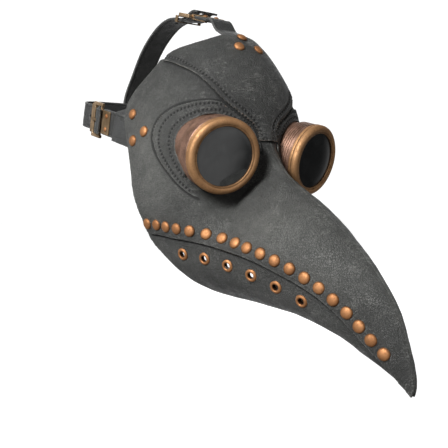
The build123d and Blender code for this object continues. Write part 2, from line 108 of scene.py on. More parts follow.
def neighbour_mean(values, edges):
    """The mean of each vertex's neighbours, for one value or one point per vertex."""
    flat = values.reshape(len(values), -1)
    count = np.bincount(edges.ravel(), minlength=len(flat)).clip(1)
    out = np.empty_like(flat)
    for i in range(flat.shape[1]):
        total = np.bincount(edges[:, 0], flat[edges[:, 1], i], len(flat))
        total += np.bincount(edges[:, 1], flat[edges[:, 0], i], len(flat))
        out[:, i] = total / count
    return out.reshape(values.shape)


def paint(mesh, name, values):
    """Store a number per vertex, which a material reads by name."""
    layer = mesh.attributes.get(name) or mesh.attributes.new(name, "FLOAT", "POINT")
    layer.data.foreach_set("value", values.astype(np.float32))


def add_piece(name, mesh, material, body, replaces=()):
    """Put a finished mesh in the scene as a piece that rides on a body."""
    obj = bpy.data.objects.new(name, mesh)
    bpy.context.scene.collection.objects.link(obj)
    mesh.materials.clear()
    mesh.materials.append(material)
    mesh.polygons.foreach_set("use_smooth", [True] * len(mesh.polygons))
    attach(obj, body)
    if replaces:
        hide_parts(*replaces)


def make_mesh(name, points, faces):
    mesh = bpy.data.meshes.new(name)
    mesh.from_pydata([tuple(p) for p in np.asarray(points) * MM], [], faces)
    mesh.update()
    return mesh


def welded(node):
    """A copy of a CAD node's mesh with its split vertices joined."""
    bm = bmesh.new()
    bm.from_mesh(NODES[node].data)
    bmesh.ops.remove_doubles(bm, verts=bm.verts, dist=WELD_REACH)
    mesh = bpy.data.meshes.new(node + "_copy")
    bm.to_mesh(mesh)
    bm.free()
    return mesh


def remeshed(node, voxel, rounds=3):
    """An even quad mesh of a CAD node, with its cut edges rounded."""
    obj = bpy.data.objects.new("work", welded(node))
    bpy.context.scene.collection.objects.link(obj)
    remesh = obj.modifiers.new("remesh", "REMESH")
    remesh.mode = "VOXEL"
    remesh.voxel_size = voxel * MM * COARSER
    smooth = obj.modifiers.new("smooth", "SMOOTH")
    smooth.factor = 0.5
    smooth.iterations = rounds
    graph = bpy.context.evaluated_depsgraph_get()
    mesh = bpy.data.meshes.new_from_object(obj.evaluated_get(graph))
    bpy.data.objects.remove(obj)
    return mesh


def surface(*meshes):
    """A search tree over the polygons of some meshes, in millimetres."""
    points, faces, base = [], [], 0
    for mesh in meshes:
        points.append(coordinates(mesh))
        faces += [[base + i for i in p.vertices] for p in mesh.polygons]
        base += len(mesh.vertices)
    return BVHTree.FromPolygons([tuple(p) for p in np.concatenate(points)], faces)


def loose_parts(node):
    """The vertices of each separate solid of a CAD node, in millimetres."""
    mesh = welded(node)
    co, edges = coordinates(mesh), edges_of(mesh)
    label = np.arange(len(co))
    while True:
        low = np.minimum(label[edges[:, 0]], label[edges[:, 1]])
        new = label.copy()
        np.minimum.at(new, edges[:, 0], low)
        np.minimum.at(new, edges[:, 1], low)
        new = new[new]
        if (new == label).all():
            return [co[label == k] for k in np.unique(label)]
        label = new


# ---------------------------------------------------------------- shared surface fields, in millimetres
STITCH_PITCH = 3.4
HEAD_SINK = 0.25         # how far a head is pulled into the leather
HEAD_REST = 0.4          # how far a rivet's head stands off the leather's middle, as in the CAD
FAR = 1e3                # a distance that counts as out of reach
SEAT_DEPTH = -20.5       # where the leather ends in front of a cup, along the goggle's axis
SEAT_RADIUS = 31.0
SEAT_SOFTNESS = 2.0
SEAT_FADE = (42, 52)     # the radii between which the seat fades out


def waves(length, count, seed):
    """Directions and phases of a smooth random field with features of about one length."""
    r = np.random.default_rng(seed)
    d = r.normal(size=(count, 3))
    d /= np.linalg.norm(d, axis=1)[:, None]
    return d * (2 * math.pi / (length * r.uniform(0.7, 1.6, (count, 1)))), r.uniform(0, 2 * math.pi, count)


WAVES = [(waves(70, 9, 1), 0.16), (waves(30, 12, 2), 0.09), (waves(13, 14, 3), 0.035)]


def undulation(points):
    """How far the handmade shell stands from a perfect one, in millimetres."""
    total = np.zeros(len(points))
    for (k, phase), high in WAVES:
        total += high * np.sin(points @ k.T + phase).sum(1)
    return total


def distance_to_path(points, path, reach):
    """Distance of each point to a path of 3-D points, for those within reach of its box."""
    path = np.asarray(path, float)
    out = np.full(len(points), FAR)
    near = ((points > path.min(0) - reach) & (points < path.max(0) + reach)).all(1)
    if not near.any():
        return out
    p = points[near]
    best = np.full(len(p), FAR)
    for a, b in zip(path[:-1], path[1:]):
        d = b - a
        t = np.clip((p - a) @ d / max(d @ d, 1e-9), 0, 1)
        best = np.minimum(best, np.linalg.norm(p - a - t[:, None] * d, axis=1))
    out[near] = best
    return out


def spline(points, step=1.0):
    """A smooth curve through some points, sampled evenly."""
    p = np.asarray(points, float)
    padded = np.vstack([2 * p[0] - p[1], p, 2 * p[-1] - p[-2]])
    out = []
    for i in range(1, len(padded) - 2):
        a, b, c, d = padded[i - 1:i + 3]
        for t in np.linspace(0, 1, 24, endpoint=False):
            out.append(0.5 * (2 * b + (c - a) * t + (2 * a - 5 * b + 4 * c - d) * t * t
                              + (3 * b - a - 3 * c + d) * t ** 3))
    return resample(np.array(out + [p[-1]]), step)


def resample(path, step):
    length = np.r_[0, np.cumsum(np.linalg.norm(np.diff(path, axis=0), axis=1))]
    count = max(2, int(round(length[-1] / step)) + 1)
    at = np.linspace(0, length[-1], count)
    return np.stack([np.interp(at, length, path[:, i]) for i in range(path.shape[1])], 1)


def drop(tree, yz, side):
    """Where a point of the side view lies on the outside of the shell."""
    y, z = yz
    hit = tree.ray_cast(Vector((side * 150, y, z)), Vector((-side, 0, 0)))
    return None if hit[0] is None else np.array(hit[0])


def press_goggles(points, inner):
    """Push the leather back where it would stand in front of a goggle's cup."""
    out = points.copy()
    for side in SIDES.values():
        axis, centre = eye_axis(side), eye_centre(side)
        d = out - centre
        t = d @ axis
        r = np.linalg.norm(d - t[:, None] * axis, axis=1)
        target = SEAT_DEPTH + (r - SEAT_RADIUS) - 2.2 * inner
        over = (t - target) / SEAT_SOFTNESS
        push = SEAT_SOFTNESS * np.where(over > 20, over, np.log1p(np.exp(np.clip(over, -20, 20))))
        push *= 1 - smoothstep(*SEAT_FADE, r)
        push = np.where((t < 15) & (t > -34) & (out[:, 0] * side > 1.0), push, 0)
        out -= push[:, None] * axis * smoothstep(1.0, 8.0, out[:, 0] * side)[:, None]
    return out


# ---------------------------------------------------------------- shaders
class Shader:
    """A small helper that builds one material's nodes."""

    def __init__(self, name):
        self.material = bpy.data.materials.new(name)
        self.material.use_nodes = True
        self.tree = self.material.node_tree
        self.main = self.tree.nodes["Principled BSDF"]
        where = self.add("ShaderNodeTexCoord").outputs["Object"]
        scale = self.add("ShaderNodeVectorMath", operation="SCALE")
        scale.inputs["Scale"].default_value = 1 / MM
        self.link(where, scale.inputs[0])
        self.where = scale.outputs[0]

    def add(self, kind, **settings):
        node = self.tree.nodes.new(kind)
        for key, value in settings.items():
            setattr(node, key, value)
        return node

    def link(self, source, socket):
        if isinstance(source, (int, float)):
            socket.default_value = source
        elif isinstance(source, (tuple, list)):
            socket.default_value = (*source, 1.0)[:len(socket.default_value)]
        else:
            self.tree.links.new(source, socket)

    def stretched(self, scale, turn=(0, 0, 0)):
        node = self.add("ShaderNodeMapping")
        node.inputs["Scale"].default_value = scale
        node.inputs["Rotation"].default_value = turn
        self.link(self.where, node.inputs["Vector"])
        return node.outputs[0]

    def noise(self, scale, detail=4.0, rough=0.55, bend=0.0, where=None):
        node = self.add("ShaderNodeTexNoise")
        node.inputs["Scale"].default_value = scale
        node.inputs["Detail"].default_value = detail
        node.inputs["Roughness"].default_value = rough
        node.inputs["Distortion"].default_value = bend
        self.link(where or self.where, node.inputs["Vector"])
        return node.outputs["Fac"]

    def cells(self, scale, where):
        node = self.add("ShaderNodeTexVoronoi", feature="DISTANCE_TO_EDGE")
        node.inputs["Scale"].default_value = scale
        self.link(where, node.inputs["Vector"])
        return node.outputs["Distance"]

    def attribute(self, name):
        return self.add("ShaderNodeAttribute", attribute_name=name).outputs["Fac"]

    def math(self, how, a, b=0.0, clamp=False):
        node = self.add("ShaderNodeMath", operation=how, use_clamp=clamp)
        self.link(a, node.inputs[0])
        self.link(b, node.inputs[1])
        return node.outputs[0]

    def between(self, value, low, high, to_low=0.0, to_high=1.0):
        node = self.add("ShaderNodeMapRange", interpolation_type="SMOOTHSTEP")
        for socket, x in zip(node.inputs, (value, low, high, to_low, to_high)):
            self.link(x, socket)
        return node.outputs[0]

    def mix(self, share, a, b):
        node = self.add("ShaderNodeMix", data_type="RGBA")
        self.link(share, node.inputs["Factor"])
        self.link(a, node.inputs[6])
        self.link(b, node.inputs[7])
        return node.outputs[2]

    def bump(self, height, distance, under=None):
        node = self.add("ShaderNodeBump")
        node.inputs["Strength"].default_value = 1.0
        node.inputs["Distance"].default_value = distance * MM
        self.link(height, node.inputs["Height"])
        if under is not None:
            self.link(under, node.inputs["Normal"])
        return node.outputs[0]

    def finish(self, color, roughness, normal, **constants):
        self.link(color, self.main.inputs["Base Color"])
        self.link(roughness, self.main.inputs["Roughness"])
        self.link(normal, self.main.inputs["Normal"])
        for key, value in constants.items():
            self.main.inputs[key.replace("_", " ")].default_value = value
        return self.material


def toned(color, share):
    """A colour made lighter or darker."""
    return tuple(share * c for c in color)


def scratches(s, density):
    """Thin worn lines in three directions, in some places only."""
    total = 0.0
    for turn in ((0.3, 0.9, 0.2), (1.2, 0.1, 0.7), (0.2, 0.4, 1.5)):
        fine = s.noise(1.0, 2.0, 0.5, 0.4, s.stretched((0.035, 0.9, 0.9), turn))
        total = s.math("MAXIMUM", s.between(fine, density, density + 0.035), total)
    gate = s.between(s.noise(0.06, 3.0), 0.48, 0.62)
    return s.math("MULTIPLY", total, gate)


def leather(name, dark, middle, light, flesh, grain=1.0, gloss=0.5):
    """Grained leather: mottled dye, pebbled grain, scratches, pale worn edges, a suede inside, painted shade
    and a painted highlight.
    """
    s = Shader(name)
    broad = s.noise(0.022, 5.0, 0.6)
    spots = s.noise(0.13, 8.0, 0.68, 0.3)
    fine = s.noise(1.1, 6.0, 0.7)
    bent = s.add("ShaderNodeVectorMath", operation="ADD")
    shift = s.add("ShaderNodeTexNoise")
    shift.inputs["Scale"].default_value = 0.5
    s.link(s.where, shift.inputs["Vector"])
    s.link(s.where, bent.inputs[0])
    s.link(shift.outputs["Color"], bent.inputs[1])
    pebble = s.cells(0.62, bent.outputs[0])
    small = s.cells(1.5, bent.outputs[0])
    color = s.mix(s.between(broad, 0.36, 0.64), dark, middle)
    color = s.mix(s.between(spots, 0.50, 0.74, 0.0, 0.5), color, light)
    color = s.mix(s.between(spots, 0.46, 0.26, 0.0, 0.6), color, dark)
    color = s.mix(s.between(fine, 0.42, 0.7, 0.0, 0.5), color, light)
    # dye worn pale, with a painted highlight, on the cheeks, beak and ridge
    rub_highlight = s.math("MULTIPLY", s.attribute("rub_and_highlight"), s.between(spots, 0.2, 0.8, 0.4, 1.0))
    color = s.mix(rub_highlight, color, light)
    # painted shade along seams, round the goggles and at some dark places
    color = s.mix(s.attribute("shade"), color, toned(dark, 0.5))
    color = s.mix(s.between(pebble, 0.11, 0.0, 0.0, 0.75), color, toned(dark, 0.5))
    rub = s.math("MULTIPLY", s.attribute("edge"), s.between(s.noise(0.35, 5.0, 0.7), 0.3, 0.62))
    scuff = scratches(s, 0.615)
    color = s.mix(s.math("MULTIPLY", scuff, 0.4), color, toned(light, 1.6))
    color = s.mix(s.math("MULTIPLY", rub, 0.8), color, toned(light, 1.9))
    # painted shade in hollows, crease valleys, stitch holes and where pieces touch
    color = s.mix(s.math("MULTIPLY", s.attribute("hollow_shade"), 0.85), color, toned(dark, 0.3))
    inside = s.attribute("inside")
    suede = s.mix(s.between(s.noise(0.5, 8.0, 0.75), 0.3, 0.7), flesh, toned(flesh, 1.5))
    color = s.mix(inside, color, suede)
    rough = s.between(spots, 0.3, 0.7, gloss + 0.17, gloss - 0.08)
    rough = s.math("ADD", rough, s.math("MULTIPLY", fine, 0.16))
    rough = s.math("MAXIMUM", rough, s.math("MULTIPLY", inside, 0.9))
    grit = s.math("MULTIPLY", s.between(small, 0.0, 0.2), 0.45)
    height = s.math("ADD", s.between(pebble, 0.0, 0.16), grit)
    height = s.math("ADD", height, s.math("MULTIPLY", fine, 0.8))
    normal = s.bump(height, 0.23 * grain)
    normal = s.bump(s.math("MULTIPLY", scuff, -1.0), 0.10, normal)
    normal = s.bump(s.noise(0.2, 5.0, 0.65), 0.4 * grain, normal)
    dull = s.math("MAXIMUM", s.math("MULTIPLY", s.attribute("hollow_shade"), 0.96),
                  s.math("MULTIPLY", s.attribute("shade"), 0.62))
    dull = s.math("MAXIMUM", dull, s.between(pebble, 0.06, 0.0, 0.0, 0.7))
    rough = s.math("MAXIMUM", rough, dull)
    return s.finish(color, rough, normal, Specular_IOR_Level=0.5)


def antique(name, bright, middle, dark, patina, wear=0.5, gloss=0.34, pits=0.5):
    """Antiqued copper or bronze: bright where worn, brown and spotted where not, with painted shade in its
    hollows.
    """
    s = Shader(name)
    broad = s.noise(0.07, 5.0, 0.65, 0.4)
    spots = s.noise(0.6, 7.0, 0.7)
    fine = s.noise(2.6, 5.0, 0.65)
    edge = s.attribute("edge")
    color = s.mix(s.between(broad, 0.35, 0.65), middle, bright)
    color = s.mix(s.between(spots, 0.56, 0.70, 0.0, 0.8), color, dark)
    color = s.mix(s.between(fine, 0.62, 0.72, 0.0, 0.6 * pits), color, dark)
    color = s.mix(s.between(s.noise(0.2, 6.0, 0.7), 0.55, 0.68, 0.0, 0.55), color, patina)
    color = s.mix(s.math("MULTIPLY", edge, wear, True), color, bright)
    # painted shade in the hollows and at the rims
    color = s.mix(s.math("MULTIPLY", s.attribute("hollow_shade"), 0.9), color, toned(dark, 0.35))
    rough = s.between(spots, 0.35, 0.7, gloss, gloss + 0.22)
    rough = s.math("ADD", rough, s.math("MULTIPLY", fine, 0.1))
    line = s.noise(1.0, 3.0, 0.6, 0.0, s.stretched((0.25, 2.2, 2.2), (0.4, 0.2, 0.9)))
    normal = s.bump(spots, 0.12)
    normal = s.bump(fine, 0.04, normal)
    normal = s.bump(line, 0.05, normal)
    return s.finish(color, rough, normal, Metallic=0.86)


def glass():
    """Dark smoked glass with faint smears and dust."""
    s = Shader("smoked_glass")
    smear = s.noise(0.08, 5.0, 0.6, 0.8)
    dust = s.noise(2.5, 3.0, 0.7)
    color = s.mix(s.between(smear, 0.4, 0.65), (0.010, 0.0105, 0.0105), (0.018, 0.0187, 0.0185))
    rough = s.between(smear, 0.38, 0.7, 0.03, 0.07)
    rough = s.math("ADD", rough, s.between(dust, 0.62, 0.72, 0.0, 0.2))
    return s.finish(color, rough, s.bump(smear, 0.015), IOR=1.52, Specular_IOR_Level=1.0, Coat_Weight=1.0,
                    Coat_Roughness=0.03)


def rubber():
    s = Shader("black_rubber")
    fine = s.noise(2.0, 4.0, 0.6)
    color = s.mix(s.between(s.noise(0.3, 4.0), 0.3, 0.7), (0.012, 0.012, 0.012), (0.03, 0.03, 0.03))
    return s.finish(color, s.between(fine, 0.3, 0.7, 0.6, 0.8), s.bump(fine, 0.05))


def thread():
    s = Shader("waxed_thread")
    twist = s.noise(3.0, 2.0, 0.5, 0.0, s.stretched((1.0, 2.5, 1.0), (0.6, 0.3, 0.2)))
    color = s.mix(s.between(twist, 0.35, 0.65), (0.018, 0.017, 0.016), (0.06, 0.058, 0.055))
    return s.finish(color, 0.55, s.bump(twist, 0.15))


SHELL = leather("shell_leather", (0.011, 0.0116, 0.0106), (0.027, 0.0278, 0.0255), (0.090, 0.091, 0.084),
                (0.085, 0.064, 0.048), 1.3, 0.38)
STRAP = leather("strap_leather", (0.009, 0.010, 0.010), (0.019, 0.020, 0.020), (0.05, 0.05, 0.047),
                (0.07, 0.055, 0.042), 0.7, 0.36)
COPPER = antique("copper", (0.30, 0.142, 0.06), (0.20, 0.086, 0.033), (0.04, 0.018, 0.011),
                 (0.09, 0.046, 0.027), 0.7, 0.5)
BEZEL = antique("bezel_copper", (0.34, 0.19, 0.09), (0.21, 0.113, 0.052), (0.05, 0.026, 0.016),
                (0.11, 0.068, 0.04), 0.5, 0.5)
CUP = antique("aged_copper", (0.27, 0.16, 0.115), (0.14, 0.08, 0.055), (0.035, 0.021, 0.016),
              (0.075, 0.048, 0.036), 0.6, 0.42, 0.9)
BRONZE = antique("bronze", (0.36, 0.25, 0.15), (0.18, 0.12, 0.065), (0.04, 0.027, 0.015),
                 (0.09, 0.07, 0.042), 0.8)
GLASS = glass()
RUBBER = rubber()
THREAD = thread()


# ---------------------------------------------------------------- leather pieces
FASTENERS = ["forehead_rivets", "strap_rivets"] + [f"{s}_{n}" for s in SIDES
                                                   for n in ("beak_rivets", "temple_rivets", "eyelets")]


def fastener_frames(node):
    """The top and outward axis of each rivet or eyelet: its head is the wide end."""
    out = []
    for part in loose_parts(node):
        centre = part.mean(0)
        values, vectors = np.linalg.eigh(np.cov((part - centre).T))
        odd = 0 if values[1] - values[0] > values[2] - values[1] else 2
        axis = vectors[:, odd]
        along = (part - centre) @ axis
        radial = np.linalg.norm(part - centre - along[:, None] * axis, axis=1)
        if along[np.argmax(radial)] < (along.max() + along.min()) / 2:
            axis, along = -axis, -along
        out.append((centre + along.max() * axis, axis))
    return out


FRAMES = {node: fastener_frames(node) for node in FASTENERS}
EDGE_BEND = (0.12, 0.5)  # the bends, per millimetre, at which an edge starts and is whole
EDGE_BLUR = 2
PRICK_RADIUS = 1.1
PRICK_DEPTH = 0.7
DIMPLE_DEPTH = 0.5
DIMPLE_REACH = 7.5
DIMPLE_ROOT = 3.0        # how far below a head's top the dimple's middle is


def dimples(points):
    """How far leather is pulled in round the rivets and eyelets."""
    total = np.zeros(len(points))
    for node, frames in FRAMES.items():
        if node == "strap_rivets":
            continue
        for top, axis in frames:
            d = np.linalg.norm(points - (top - DIMPLE_ROOT * axis), axis=1)
            total = np.maximum(total, DIMPLE_DEPTH * np.exp(-(d / DIMPLE_REACH) ** 2))
    return total


def edge_paint(mesh, voxel):
    """Find the convex edges of a mesh and store how strongly each vertex belongs to one; its hollows get
    painted shade.
    """
    co, n, e = coordinates(mesh), normals(mesh), edges_of(mesh)
    bend = 2 * ((co - neighbour_mean(co, e)) * n).sum(1) / voxel ** 2
    edge, hollow = smoothstep(*EDGE_BEND, bend), smoothstep(*EDGE_BEND, -bend)
    for _ in range(EDGE_BLUR):
        edge = 0.5 * edge + 0.5 * neighbour_mean(edge, e)
        hollow = 0.5 * hollow + 0.5 * neighbour_mean(hollow, e)
    paint(mesh, "edge", edge)
    # painted shade in the hollows
    paint(mesh, "hollow_shade", 0.5 * hollow)
    return edge


def pricks(points, rows):
    """The holes that the stitches pull in the leather, 1 in the middle of each."""
    out = np.zeros(len(points))
    for row in rows:
        for spot in resample(row, STITCH_PITCH):
            out = np.maximum(out, np.exp(-((points - spot) ** 2).sum(1) / PRICK_RADIUS ** 2))
    return out


# Where painted shade lies: a place, the reach along each axis and how dark.
SHADED_PLACES = [((0, -84, 78), (70, 44, 40), 0.65), ((0, -266, -158), (44, 42, 58), 0.85),
           ((0, -96, 0), (30, 26, 34), 0.7), ((0, -90, -108), (90, 70, 30), 0.6)]
# Where the dye is worn, with a painted highlight, on the right side: a place, the reach along each axis and
# how strong.
RUB_AND_HIGHLIGHT_PLACES = [((-70, -48, 14), (30, 26, 24), 1.0), ((-68, -52, -26), (30, 28, 22), 0.75),
          ((-34, -150, -58), (26, 34, 22), 0.8), ((-22, -196, -84), (22, 26, 22), 0.45),
          ((-20, -98, 70), (24, 30, 26), 0.35)]
SEAM_LINE = [(-10, -61), (-30, -62), (-52, -63), (-72, -65), (-90, -67), (-107, -70), (-127, -75),
             (-152, -83), (-178, -95), (-203, -111), (-226, -132), (-244, -149), (-251.5, -157)]
RIDGE_LINE = [(-119, 5), (-139, -16), (-166, -34), (-192, -53), (-217, -74), (-240, -100), (-254, -128),
              (-259, -142.5), (-261.6, -159)]


SEAM_SPREAD = 7.0        # how far the painted shade reaches from the mouth seam and from the brow seam
BROW_SPREAD = 6.0
CUP_SHADE = (29, 9.0)    # the radius of the ring of painted shade round a cup, and its reach
RIDGE_SPREAD = 3.0


def flat_distance(points, line):
    """Distance in the side view to a line of (y, z) places."""
    path = np.array([(0, y, z) for y, z in line], float)
    return distance_to_path(points * (0, 1, 1), path, 60)


def tone(points):
    """How much painted shade lies along seams, under the goggles and at some dark places, and how far the dye
    is worn, with a painted highlight, elsewhere.
    """
    seam = flat_distance(points, spline(np.array([(0, y, z) for y, z in SEAM_LINE]), 4.0)[:, 1:])
    brow = flat_distance(points, spline(np.array([(0, y, z) for y, z in BROW_SEAM]), 4.0)[:, 1:])
    # painted shade along the mouth seam and the brow seam
    shade = 0.6 * np.exp(-(seam / SEAM_SPREAD) ** 2) + 0.55 * np.exp(-(brow / BROW_SPREAD) ** 2)
    # painted shade at the listed dark places
    for place, reach, strength in SHADED_PLACES:
        shade += strength * np.exp(-(((points - place) / reach) ** 2).sum(1))
    rub_and_highlight = np.zeros(len(points))
    for side in SIDES.values():
        d = points - eye_centre(side)
        along = d @ eye_axis(side)
        radius = np.linalg.norm(d - along[:, None] * eye_axis(side), axis=1)
        # painted shade in a ring round each cup
        ring = np.exp(-((radius - CUP_SHADE[0]) / CUP_SHADE[1]) ** 2)
        shade += 0.7 * ring * (points[:, 0] * side > 0)
        # worn dye with a painted highlight at the listed places
        for place, reach, strength in RUB_AND_HIGHLIGHT_PLACES:
            gap = (points - np.array(place) * (-side, 1, 1)) / np.array(reach)
            rub_and_highlight += strength * np.exp(-(gap ** 2).sum(1))
    # worn dye with a painted highlight along the beak's ridge
    ridge = np.linalg.norm(np.stack([0.8 * points[:, 0], flat_distance(points, RIDGE_LINE)]), axis=0)
    rub_and_highlight += 0.9 * np.exp(-(ridge / RIDGE_SPREAD) ** 2) * smoothstep(-60, -130, points[:, 2])
    return np.clip(shade, 0, 0.85), np.clip(rub_and_highlight, 0, 1)


def shell_piece(node, voxel, grooves=(), touching=(), stitches=()):
    """A leather shell panel: rounded edges, undulation, dimples, grooves and pressed goggle seats."""
    mesh = remeshed(node, voxel)
    edge = edge_paint(mesh, voxel * COARSER)
    co, n = coordinates(mesh), normals(mesh)
    y = co[:, 1]
    middle = np.stack([0 * y, np.clip(y, -250, -20), np.interp(y, [-250, -60], [-140, -10])], 1)
    inner = (((co - middle) * n).sum(1) < 0).astype(float)
    out = np.where(inner > 0.5, -1.0, 1.0)
    if "forehead" not in node and "lower" not in node:
        co = press_goggles(co, inner)
    high = undulation(co) * (1 - 0.6 * edge) - dimples(co)
    shade, rub_and_highlight = tone(co)
    # painted shade, and worn dye with a painted highlight, from tone
    paint(mesh, "shade", shade * (1 - inner))
    paint(mesh, "rub_and_highlight", rub_and_highlight * (1 - inner))
    # painted shade in crease valleys, stitch holes and along pieces that touch
    hollow_shade = np.zeros(len(co))
    for path, wide, deep in grooves:
        d = distance_to_path(co, path, 3 * wide)
        valley, lip = np.exp(-(d / wide) ** 2), np.exp(-((d - 2 * wide) / wide) ** 2)
        high += np.where(inner > 0.5, 0.0, -deep * valley + 0.3 * deep * lip)
        hollow_shade = np.maximum(hollow_shade, 0.3 * deep * valley * (1 - inner))
    if stitches:
        hole = pricks(co, stitches) * (1 - inner)
        high -= PRICK_DEPTH * hole
        hollow_shade = np.maximum(hollow_shade, smoothstep(0.1, 0.4, hole))
    if touching:
        hollow_shade = np.maximum(hollow_shade, smoothstep(0.0, 0.45, contact_shade(co, touching)) * (1 - inner))
    co = co + (high * out)[:, None] * n
    set_coordinates(mesh, co)
    paint(mesh, "inside", inner * (1 - edge))
    paint(mesh, "hollow_shade", hollow_shade)
    add_piece(node + "_leather", mesh, SHELL, "mask", [node])
    return mesh


RAW = surface(*[welded(n) for n in ("right_side_panel", "left_side_panel")])
RAW_BROW = surface(welded("forehead_panel"))

# Creases of the worn leather on the right side, as points on the skin, with their width and depth.
CREASES = [
    ([(-59.8, -81.8, 42.6), (-54.4, -87.2, 48.1), (-46.2, -95, 49.4), (-38.6, -100.4, 45.6),
      (-29.2, -104.5, 37.7), (-21.7, -107.2, 26.7)], 2.6, 0.8),
    ([(-61, -74.7, 48.1), (-54.8, -82.3, 54.2), (-46.5, -92.1, 55.1), (-36.1, -100.1, 51.4),
      (-23.8, -105.3, 42.6)], 2.4, 0.45),
    ([(-72, -70, -25.6), (-69.7, -75.5, -38.4), (-64, -87.6, -45.6), (-54.8, -100, -51)], 3.6, 0.45),
    ([(-69, -42, -60.8), (-70, -50, -57.5), (-69.4, -57.7, -55.5)], 2.0, 0.7),
    ([(-9, -115, 6), (-10.7, -122.5, -8.5), (-19.6, -127.7, -24.7), (-28, -123.4, -34)], 3.0, 0.9),
]


SIDE_VOXEL = 0.75
BROW_VOXEL = 0.7
JAW_VOXEL = 0.85
COLLAR_VOXEL = 0.6
# how far painted shade reaches from a piece that touches
SHADE_REACH = 2.8
BROW_INSET = 3.2         # the stitches' distance from the forehead panel's cut edge
COLLAR_ROWS = (36.6, 31.9)    # the radii of the circles of stitches round a goggle


def crease_path(points, side):
    found = [RAW.find_nearest(Vector(p * (-side, 1, 1)))[0] for p in spline(points, 2.0)]
    return np.array([tuple(p) for p in found])


def contact_shade(points, trees):
    """How close each point lies to other pieces, kept as painted shade along the seams where they meet."""
    out = np.zeros(len(points))
    for tree in trees:
        for i, p in enumerate(points):
            near = tree.find_nearest(Vector(p), SHADE_REACH)[3]
            if near is not None:
                out[i] = max(out[i], 1 - near / SHADE_REACH)
    return out


def seam_inset(points, tree, inset):
    """A path over the shell, moved sideways on its surface."""
    out = []
    for i, p in enumerate(points):
        ahead = points[min(i + 1, len(points) - 1)] - points[max(i - 1, 0)]
        near = tree.find_nearest(Vector(p))
        across = np.cross(unit(ahead), np.array(near[1]))
        out.append(np.array(tree.find_nearest(Vector(p + inset * across))[0]))
    return np.array(out)


def brow_path(side, inset):
    start = [drop(RAW_BROW, (y - 0.6, z + 1.2), side) for y, z in spline(BROW_SEAM, 2.0)]
    path = np.array([p for p in start if p is not None])
    return seam_inset(path, RAW_BROW, inset * side)


def collar_rows(label, side):
    """The two circles of stitches round a goggle, as paths on the collar."""
    tree = surface(welded(label + "_eye_collar"))
    a, b, c = basis(eye_axis(side))
    rows = []
    for radius in COLLAR_ROWS:
        arc = []
        for turn in np.linspace(0, 2 * math.pi, 200):
            start = eye_centre(side) + radius * (math.cos(turn) * a + math.sin(turn) * b) + 30 * c
            hit = tree.ray_cast(Vector(start), Vector(-c), 90)
            if hit[0] is not None and np.dot(np.array(hit[1]), c) > 0.15:
                arc.append(np.array(hit[0]))
        gaps = np.linalg.norm(np.diff(np.array(arc), axis=0), axis=1)
        cut = int(np.argmax(np.r_[gaps, np.linalg.norm(arc[0] - arc[-1])])) + 1
        rows.append(np.array(arc[cut:] + arc[:cut]))
    return rows


GROOVES = {label: [(crease_path(path, side), wide, deep) for path, wide, deep in CREASES]
           for label, side in SIDES.items()}
BROW_STITCH = {label: brow_path(side, BROW_INSET) for label, side in SIDES.items()}
NOSE_STITCH = np.linspace(BROW_STITCH["right"][-1], BROW_STITCH["left"][-1], 14)
COLLAR_STITCH = {label: collar_rows(label, side) for label, side in SIDES.items()}
brow_rows = [*BROW_STITCH.values(), NOSE_STITCH]
RAW_COLLARS = {label: surface(welded(label + "_eye_collar")) for label in SIDES}

side_panels = {}
for label in SIDES:
    side_panels[label] = shell_piece(label + "_side_panel", SIDE_VOXEL, GROOVES[label],
                                     [RAW_BROW, RAW_COLLARS[label]])
channels = [(path, 0.9, 0.4) for path in brow_rows]
brow_panel = shell_piece("forehead_panel", BROW_VOXEL, channels, stitches=brow_rows)
shell_piece("lower_panel", JAW_VOXEL, touching=[RAW])
collars = {}
for label, rows in COLLAR_STITCH.items():
    channels = [(path, 0.8, 0.25) for path in rows]
    collars[label] = shell_piece(label + "_eye_collar", COLLAR_VOXEL, channels, stitches=rows)


def skirt(label, panel):
    """A leather lining that closes the shell against a goggle's cup."""
    tree = surface(panel)
    centre, (a, b, c) = eye_centre(SIDES[label]), basis(eye_axis(SIDES[label]))
    steps, thick, deepest = 144, 1.2, -60.0
    radii = (28.15, 29.2, 30.2, 31.2, 32.2, 33.2, 34.2)
    points = []
    for turn in np.linspace(0, 2 * math.pi, steps, endpoint=False):
        way = math.cos(turn) * a + math.sin(turn) * b
        heights = []
        for radius in (33.4, 34.2):
            hit = tree.ray_cast(Vector(centre + radius * way + 14 * c), Vector(-c), 100)[0]
            heights.append(deepest if hit is None else (np.array(hit) - centre) @ c)
        outer = min(heights) - 0.7
        inner = min(outer, -21.9)
        rim = [inner + (outer - inner) * smoothstep(29.8, 33.0, r) for r in radii]
        points += [centre + r * way + h * c for r, h in zip(radii, rim)]
        points += [centre + r * way + (h - thick) * c for r, h in zip(radii[::-1], rim[::-1])]
    rows = 2 * len(radii)
    faces = [(i * rows + j, i * rows + (j + 1) % rows, (i + 1) % steps * rows + (j + 1) % rows,
              (i + 1) % steps * rows + j) for i in range(steps) for j in range(rows)]
    mesh = make_mesh(label + "_skirt", points, faces)
    add_piece(label + "_goggle_skirt", mesh, SHELL, "mask")


for label, panel in side_panels.items():
    skirt(label, panel)


STRAP_HALF = 11.5
STRAP_BORDER = 2.6
STRAP_VOXEL = 0.6


